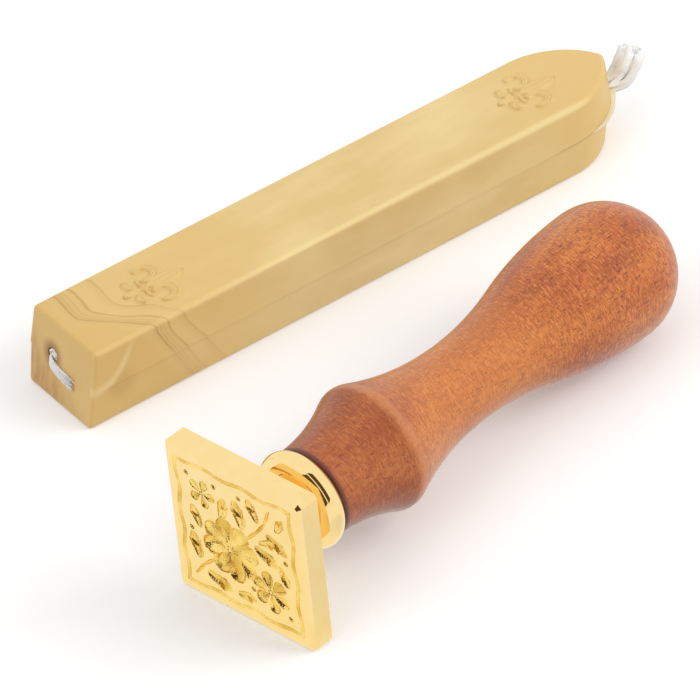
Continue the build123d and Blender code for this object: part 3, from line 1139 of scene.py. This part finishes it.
def lily_share(u, v):
    """Nearness to the spine of the nearest part of the lily, at a place in millimetres."""
    side = abs(v)
    return max(
        pointed_oval(u, v, 1.85, 6.5, 2.8),
        bowed_stroke(u, side, (0.15, 2.75), 1.55, -120, 240, 0.48),
        pointed_oval(v, u + 1.55, 0.0, 4.8, 1.0),
        pointed_oval(u, v, -3.35, 3.3, 1.6),
        bowed_stroke(u, side, (-2.3, 2.0), 1.1, -90, -130, 0.36),
    )


def lily_lift(u, v):
    """How far the wax stands up at a place in the lily's field, in metres."""
    share = lily_share(u, v)
    if share <= 0:
        return -lily_moat * exp(-(((share + 0.3) / 0.25) ** 2))
    rim = min(1.0, share / 0.34)
    rim = rim * rim * (3 - 2 * rim)
    valley = 0.5 * exp(-(((share - 0.62) / 0.15) ** 2))
    return lily_height * rim * (1 - valley)


print("lift on a petal's rim, mm:", round(lily_lift(1.85, 0.9) / mm, 2))

# %% Mark off and lift the fields
def on_top(cell):
    """Whether a face is part of the flat top."""
    return cell.normal.z > 0.99 and abs(cell.calc_center_median().z - stick_height) < 0.01 * mm


def in_field(place, station):
    """Whether a point lies in or on the field round a station."""
    slack = 0.01 * mm
    return abs(place.x - station) < field_length / 2 + slack and abs(place.y) < field_width / 2 + slack


only(casting)
bpy.ops.object.mode_set(mode="EDIT")
cuts = [((station + side * field_length / 2, 0, 0), (1, 0, 0)) for station in lily_stations for side in (-1, 1)]
cuts += [((0, side * field_width / 2, 0), (0, 1, 0)) for side in (-1, 1)]
for place, normal in cuts:
    pick("FACE", on_top)
    slice_at(place, normal)
for station in lily_stations:
    found = pick("FACE", lambda f: on_top(f) and all(in_field(v.co, station) for v in f.verts))
    print("faces in the field:", found)
    bpy.ops.mesh.subdivide(number_cuts=field_cuts)
bpy.ops.object.mode_set(mode="OBJECT")
for vertex in casting.data.vertices:
    for station in lily_stations:
        if vertex.co.z > stick_height - 0.001 * mm and in_field(vertex.co, station):
            inside = min(
                field_length / 2 - abs(vertex.co.x - station), field_width / 2 - abs(vertex.co.y)
            )
            u, v = (vertex.co.x - station) / mm, vertex.co.y / mm
            vertex.co.z += lily_lift(u, v) * min(1.0, max(0.0, inside / (0.15 * mm)))
only(casting)
bpy.ops.object.shade_smooth_by_angle(angle=radians(40))
finish_with(casting, "WEIGHTED_NORMAL", keep_sharp=True, weight=60)
report(casting)

# %% [markdown]
# ### Pearl wax
#
# The wax carries fine mica, which gives it a soft, silky gold. A painted highlight runs along its
# long near top edge. At the rear the pour slowed, and the mica was drawn into nested lines. They lie
# on bowl-shaped surfaces inside the wax: straight across the top, then bent forward to the near edge
# and down the side. One number says on which bowl a point lies, and a few of its levels are drawn as
# thin lines. A pale streak climbs the near side there. The wax round the rear hole, and the rear face
# towards its lower far corner, are painted a darker brown, and a painted shadow line follows the
# parting step on the near side of the nose.

# %% Wax material
flow_lines = [(4.5, 0.70, 0.26), (5.1, 0.25, 0.22), (5.7, 0.20, 0.22), (6.6, 0.65, 0.26), (9.6, 0.40, 0.24)]
rear_lean = tan(rear_slant)


def bowl_level(recipe, x, y, z, where):
    """Which of the nested bowls of the pour a place lies on."""
    wobble = recipe.fade(recipe.noise(recipe.stretched(where, (0.09, 0.12, 0.08)), 1.0, 1.0), 0.3, 0.7, -0.7, 0.7)
    near_share = recipe.sum("SMOOTH_MIN", recipe.sum("SUBTRACT", y, 0.5), 0.0, 1.6)
    low_share = recipe.sum("SMOOTH_MIN", recipe.sum("SUBTRACT", z, 10.8), 0.0, 0.8)
    level = recipe.sum("MULTIPLY_ADD", near_share, 0.85, recipe.sum("ADD", x, wobble))
    return recipe.sum("MULTIPLY_ADD", low_share, 0.55, level)


def distance_to(recipe, where, place):
    """How far a place is from a fixed one."""
    made = recipe.node("VectorMath", {"operation": "DISTANCE"}, Vector=where)
    made.inputs[1].default_value = place
    return made.outputs["Value"]


def paint_wax(name, tones, glow):
    """Pearly gold wax with flow lines at its rear, a painted highlight on its near top edge and a painted shadow line
    at the parting, in the stick's own frame.
    """
    recipe = Recipe(name)
    where = recipe.own_frame(stick_frame)
    x, y, z = recipe.node("SeparateXYZ", Vector=where).outputs
    cloud = recipe.noise(recipe.stretched(where, (0.05, 0.12, 0.12)), 1.0, 3.0, 0.55)
    silk = recipe.ramp(cloud, (0.34, tones["shade"]), (0.50, tones["body"]), (0.68, tones["light"]))
    ends = recipe.sum("MAXIMUM", recipe.fade(x, 22.0, 40.0, 0.7, 0.0), recipe.fade(x, 70.0, 90.0, 0.0, 0.8))
    silk = recipe.blend(ends, silk, tones["amber"])

    level = bowl_level(recipe, x, y, z, where)
    comes_and_goes = recipe.fade(recipe.noise(where, 0.16, 1.0), 0.34, 0.50, 0.25, 1.0)
    silk = recipe.blend(recipe.fade(level, 1.5, 5.0, 0.45, 0.0), silk, tones["amber_deep"])
    threads = 0.0
    for bowl, strength, half_width in flow_lines:
        gap = recipe.sum("ABSOLUTE", recipe.sum("SUBTRACT", level, bowl))
        threads = recipe.sum("MAXIMUM", threads, recipe.fade(gap, 0.0, half_width, strength, 0.0))
        beside = recipe.fade(recipe.sum("SUBTRACT", level, bowl), 0.0, -1.6, 1.0, 0.0)
        behind = recipe.sum("MULTIPLY", recipe.sum("LESS_THAN", level, bowl), recipe.sum("MULTIPLY", beside, 0.16))
        silk = recipe.blend(behind, silk, tones["thread"])
    threads = recipe.sum("MULTIPLY", threads, recipe.sum("MULTIPLY", comes_and_goes, recipe.fade(z, 2.5, 8.0, 0.1, 1.0)))
    silk = recipe.blend(threads, silk, tones["thread"])

    near_side = recipe.fade(y, -7.6, -7.0, 1.0, 0.0)
    climb = recipe.sum("MULTIPLY_ADD", x, recipe.sum("MULTIPLY_ADD", x, 0.1065, -0.075), 6.0)
    off_streak = recipe.sum("ABSOLUTE", recipe.sum("SUBTRACT", z, climb))
    streak = recipe.sum("MULTIPLY", recipe.fade(off_streak, 0.0, 1.3, 0.45, 0.0), near_side)
    streak = recipe.sum("MULTIPLY", streak, recipe.fade(x, 5.5, 8.5, 1.0, 0.0))
    patch = recipe.fade(distance_to(recipe, where, (4.6, -8.2, 5.6)), 0.6, 3.6, 0.35, 0.0)
    silk = recipe.blend(patch, silk, tones["thread"])
    silk = recipe.blend(streak, silk, tones["edge"])
    # Painted highlight: a pale line along the long near top edge, fainter towards the rear.
    edge = recipe.sum("SQRT", recipe.sum("ADD", *(recipe.sum("POWER", recipe.sum("ABSOLUTE", part), 2.0) for part in (
        recipe.sum("ADD", y, 7.75), recipe.sum("SUBTRACT", z, 11.95)))))
    edge = recipe.sum("MULTIPLY", recipe.fade(edge, 0.1, 0.9, 0.6, 0.0), recipe.fade(x, 12.0, 36.0, 0.35, 1.0))
    silk = recipe.blend(edge, silk, tones["edge"])

    off_rear = recipe.sum("SUBTRACT", x, recipe.sum("MULTIPLY", recipe.sum("SUBTRACT", z, parting / mm), rear_lean))
    # Painted shade: a thin dark line along the parting step on the near side of the nose.
    parting_shade_line = recipe.sum("ABSOLUTE", recipe.sum("SUBTRACT", z, (parting - parting_band) / mm))
    parting_shade_line = recipe.sum("MULTIPLY", recipe.fade(parting_shade_line, 0.05, 0.22, 0.7, 0.0), recipe.fade(y, -0.5, -2.0))
    silk = recipe.blend(recipe.sum("MULTIPLY", parting_shade_line, recipe.fade(x, 78.0, 84.0)), silk, tones["brown_and_painted_shade"])
    # The rear face is painted a streaky, darker brown towards its bottom and its far side.
    low_left = recipe.fade(recipe.sum("SUBTRACT", recipe.sum("MULTIPLY", y, 0.6), z), -6.5, 0.5)
    streaky = recipe.noise(recipe.stretched(where, (0.4, 1.1, 0.25)), 1.0, 2.0)
    browned = recipe.sum("MULTIPLY", low_left, recipe.fade(streaky, 0.35, 0.65, 0.40, 0.75))
    browned = recipe.sum("MULTIPLY", browned, recipe.fade(off_rear, 0.05, 0.6, 1.0, 0.0))
    silk = recipe.blend(browned, silk, tones["browned"])
    # A darker brown is painted round the rear hole.
    mouth = distance_to(recipe, where, tuple(value / mm for value in mouth_place))
    silk = recipe.blend(recipe.fade(mouth, 0.8, 3.0, 0.75, 0.0), silk, tones["brown_and_painted_shade"])

    grain = recipe.noise(where, 3.0, 4.0, 0.6)
    under = recipe.relief(recipe.noise(where, 0.22, 2.0, 0.5), 0.25 * mm, 0.2)
    recipe.surface(
        Base_Color=silk,
        Metallic=0.25,
        Roughness=recipe.fade(cloud, 0.3, 0.7, 0.46, 0.38),
        Specular_IOR_Level=0.35,
        Subsurface_Weight=glow,
        Subsurface_Scale=1.2 * mm,
        Subsurface_Radius=(1.0, 0.7, 0.35),
        Normal=recipe.relief(recipe.sum("SUBTRACT", grain, threads), 0.012 * mm, 0.5, under),
    )
    return recipe.material


wax_tones = {
    "body": colour(234, 205, 142),
    "light": colour(240, 213, 152),
    "shade": colour(229, 197, 132),
    "amber": colour(230, 194, 122),
    "amber_deep": colour(220, 178, 104),
    "thread": colour(192, 148, 80),
    # This pale tone serves the streak on the near side and the painted highlight on the near top edge.
    "edge": colour(250, 228, 168),
    "browned": colour(184, 132, 78),
    # A dark brown, painted round the rear hole and used as painted shade along the parting step.
    "brown_and_painted_shade": colour(132, 82, 40),
}
thin_tones = {name: colour(252, 238, 208) for name in wax_tones}
pearl_wax = paint_wax("pearl_wax", wax_tones, 0.12)
thin_wax = paint_wax("thin_wax", thin_tones, 0.45)
casting.data.materials.append(pearl_wax)
print("wax nodes:", len(pearl_wax.node_tree.nodes))

# %% [markdown]
# ### Flash
#
# Where the two halves of the mould didn't quite close, wax crept out between them and set as a thin,
# pale fin along one side of the nose, with a small tongue at the tip. A line of points is drawn along
# the wax, just under its skin, and extruded outwards to a fin whose width changes along the nose.

# %% Fin of flash
flash_thickness, flash_root = 0.16 * mm, 0.4 * mm
flash_start = 87.2
flash_widths = [
    (87.2, -0.1), (88.4, 0.25), (89.8, 0.65), (92.0, 0.75), (94.0, 0.65), (94.66, 0.70), (95.11, 0.85),
    (95.36, 1.25), (95.53, 1.85), (95.60, 1.50), (95.66, 0.90), (95.70, 0.40), (95.71, 0.20),
]


def between(value, stops):
    """Read a value off a line of (place, value) stops."""
    for (low, first), (high, last) in zip(stops, stops[1:]):
        if value <= high:
            return first + (last - first) * max(0.0, value - low) / (high - low)
    return stops[-1][1]


def nose_edge(station):
    """A point on the near side of the nose and the way straight out of it."""
    point = Vector((station, -nose_half_width(station), parting - parting_band / 2))
    middle = (nose_start, arch_drop) if station < arch_end else (tip_centre, 0)
    return point, (point - Vector((middle[0], middle[1], point.z))).normalized()


edges = [nose_edge(station) for station in nose_stations(44, 20) if station > flash_start * mm]
roots = [point - out * flash_root for point, out in edges]
flash = draw_line("wax_flash", roots)
bpy.ops.mesh.select_all(action="SELECT")
bpy.ops.mesh.extrude_region_move(TRANSFORM_OT_translate={"value": (0, 0, 0)})
cells = bmesh.from_edit_mesh(flash.data)
for corner in [vertex for vertex in cells.verts if vertex.select]:
    nearest = min(range(len(roots)), key=lambda number: (roots[number] - corner.co).length)
    point, out = edges[nearest]
    corner.co = point + out * between(point.x / mm, flash_widths) * mm
bmesh.update_edit_mesh(flash.data)
bpy.ops.object.mode_set(mode="OBJECT")
finish_with(flash, "SOLIDIFY", thickness=flash_thickness, offset=0)
only(flash)
bpy.ops.object.mode_set(mode="EDIT")
tidy_shell(radians(40), merge=0.0005 * mm)
flash.data.materials.append(thin_wax)
wax = join_all([casting, flash], "wax_casting")
lay(wax, stick_frame)
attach(wax, "stick")
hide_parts("wax_stick")
report(wax)

# %% [markdown]
# ## The wick
#
# The wick is braided cotton: two sets of strands wind round a soft core in opposite ways and pass
# over and under each other. It runs through the whole stick. At the nose it comes out, bends up and
# comes undone into a white brush. At the rear it veers to the mouth at one side, and its frayed end
# lies pressed across the face. One straight strand and one fine fibre are turned on the lathe. Each
# copy is then bent by a rule that takes its length along the wick and its thickness across it.

# %% Route of the wick
wick_rear = 0.3 * mm
tail_run, tail_rise, tail_lean = 2.4 * mm, 4.0 * mm, 2.6 * mm
bend_angle = atan2(tail_rise, tail_lean)
bend_round = 2.5 * wick_radius
bend_cut = bend_round * tan(bend_angle / 2)
bend_start = stick_length + tail_run - bend_cut
bend_end = bend_start + bend_round * bend_angle
wick_end = bend_end + hypot(tail_lean, tail_rise) - bend_cut
nose_exit = stick_length - 0.3 * mm
veer_length = 9.0 * mm


def wick_place(run, across, up):
    """A place beside the wick's middle line, by the distance run along it."""
    turn = min(max((run - bend_start) / bend_round, 0.0), bend_angle)
    past = max(0.0, run - bend_end)
    station = min(run, bend_start) + bend_round * sin(turn) + past * cos(turn)
    height = parting + bend_round * (1 - cos(turn)) + past * sin(turn)
    veer = max(0.0, 1 - run / veer_length) ** 2
    across += veer * mouth_place[1]
    up += veer * (mouth_place[2] - parting)
    return Vector((station - sin(turn) * up, across, height + cos(turn) * up))


def tail_share(run):
    """0 inside the stick, growing to 1 at the end of the tail."""
    return min(1.0, max(0.0, run - nose_exit) / (wick_end - nose_exit))


print("length of the wick, mm:", round((wick_end - wick_rear) / mm, 1))

# %% Strands of the braid
chance = Random(7)
strand_radius, braid_radius, weave = 0.27 * mm, 0.82 * mm, 0.14 * mm
strands_each_way, braid_lay = 6, 9.0 * mm
core_radius = 0.62 * mm


def bent_copy(piece, name, rule):
    """A copy with its own mesh, its points moved by a rule."""
    copy = bpy.data.objects.new(name, piece.data.copy())
    bpy.context.scene.collection.objects.link(copy)
    move_points(copy, rule)
    return copy


def straight_strand(name, radius, first, last, step, sides):
    """A plain round strand along X with a blunt end at each side."""
    outline = [(first, 0), (first, radius * 0.7)]
    outline += straight_run(outline[-1], (last, radius), step)
    outline += [(last + radius * 0.4, radius * 0.5), (last + radius * 0.4, 0)]
    return turn_on_lathe(name, outline, sides, radians(80))


def braided(way, number):
    """Rule of one strand: it winds round the core, over and under, and spreads past the nose."""
    first = tau * number / strands_each_way
    sway, lean, reach = chance.uniform(0, tau), chance.uniform(0.1, 0.8) * mm, chance.uniform(-0.6, 0.3) * mm

    def rule(place):
        free = tail_share(place.x)
        run = place.x + reach * free
        angle = first + way * (tau * min(place.x, nose_exit) / braid_lay + 0.5 * free)
        bulge = 0.35 * mm * min(1.0, 4 * free) + lean * sin(0.75 * pi * free)
        out = braid_radius + weave * way * cos(strands_each_way * angle) + bulge
        swing = 0.12 * mm * free * sin(place.x / mm * 1.9 + sway)
        thick = 1 + 1.3 * min(1.0, 2 * free)
        across = out * cos(angle) * 1.15 + place.y * thick + swing
        return wick_place(run, across, out * sin(angle) * (1 - 0.15 * free) + place.z * thick)

    return rule


strand = straight_strand("strand", strand_radius, wick_rear, wick_end, 0.75 * mm, 8)
core = straight_strand("wick_core", core_radius, wick_rear, wick_end - 0.8 * mm, 0.75 * mm, 12)


def fluffed(place):
    """The core swells where the braid comes undone."""
    swell = 1 + 1.9 * sin(0.6 * pi * tail_share(place.x))
    return wick_place(place.x, place.y * swell, place.z * swell)


move_points(core, fluffed)
cotton = [core]
for way in (1, -1):
    for number in range(strands_each_way):
        cotton.append(bent_copy(strand, f"strand_{len(cotton)}", braided(way, number)))
bpy.data.objects.remove(strand)
print("strands:", len(cotton) - 1)

# %% Loose fibres
fibre_radius, fibre_length = 0.085 * mm, 7.0 * mm
tail_fibres, rear_fibres = 120, 130
band_turn, band_end = (3.9, 5.0), (-3.5, 4.95)


def tail_fibre():
    """Rule of a fibre that leaves the wick somewhere along its tail and drifts outwards."""
    angle, start_out = chance.uniform(0, tau), chance.uniform(0.2, 1.15) * mm
    begin = chance.uniform(nose_exit - 1.5 * mm, wick_end - 4.5 * mm)
    share = chance.uniform(0.62, 1.0)
    drift, wave, phase = chance.uniform(0.3, 0.9) * mm, chance.uniform(0.03, 0.14) * mm, chance.uniform(0, tau)

    def rule(place):
        run = begin + place.x * share
        free = tail_share(run)
        out = start_out + drift * sin(0.75 * pi * free)
        swing = wave * sin(place.x / mm * 1.7 + phase)
        return wick_place(
            min(run, wick_end + 0.35 * mm),
            out * cos(angle) + swing + place.y,
            out * sin(angle) + swing * 0.6 + place.z,
        )

    return rule


def rear_fibre():
    """Rule of a fibre that comes out of the mouth, bends down and lies across the rear face."""
    offset, lift = chance.uniform(-0.9, 0.9) * mm, chance.uniform(0.0, 0.3) * mm
    reach, wave, phase = chance.uniform(0.72, 1.0), chance.uniform(0.02, 0.07) * mm, chance.uniform(0, tau)
    begin = (mouth_place[1] / mm, mouth_place[2] / mm)

    def rule(place):
        share = place.x / fibre_length * reach
        parts = ((1 - share) ** 2, 2 * share * (1 - share), share**2)
        across, height = (
            sum(part * stop[axis] for part, stop in zip(parts, (begin, band_turn, band_end))) * mm for axis in (0, 1)
        )
        height += offset * (0.6 + 0.4 * share) + wave * sin(place.x / mm * 1.5 + phase)
        inside = 1.3 * mm * max(0.0, 1 - 3.5 * share) ** 2
        station = (height - parting) * rear_lean - 0.05 * mm - lift + inside
        return Vector((station + place.z, across + place.y, height))

    return rule


fibre = straight_strand("fibre", fibre_radius, 0.0, fibre_length, 0.5 * mm, 5)
for number in range(tail_fibres):
    cotton.append(bent_copy(fibre, f"tail_fibre_{number}", tail_fibre()))
for number in range(rear_fibres):
    cotton.append(bent_copy(fibre, f"rear_fibre_{number}", rear_fibre()))
bpy.data.objects.remove(fibre)
print("fibres:", tail_fibres + rear_fibres)

# %% [markdown]
# ### Cotton
#
# Bleached cotton is a matt, warm white. Its many fine fibres scatter light back at the rim as a soft
# sheen.

# %% Cotton material and the finished wick
def paint_cotton():
    """Matt warm-white cotton with faint streaks."""
    recipe = Recipe("bleached_cotton")
    where = recipe.own_frame(stick_frame)
    streaks = recipe.noise(recipe.stretched(where, (0.8, 3.0, 3.0)), 1.0, 3.0, 0.6)
    tint = recipe.ramp(streaks, (0.3, colour(252, 249, 247)), (0.6, colour(255, 254, 253)))
    recipe.surface(
        Base_Color=tint,
        Roughness=recipe.fade(streaks, 0.3, 0.7, 0.8, 0.95),
        Specular_IOR_Level=0.1,
        Subsurface_Weight=0.0,
        Sheen_Weight=0.8,
        Sheen_Roughness=0.6,
        Normal=recipe.relief(streaks, 0.03 * mm, 0.4),
    )
    return recipe.material


wick = join_all(cotton, "cotton_wick")
wick.data.materials.clear()
wick.data.materials.append(paint_cotton())
lay(wick, stick_frame)
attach(wick, "stick")
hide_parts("wick")
report(wick)
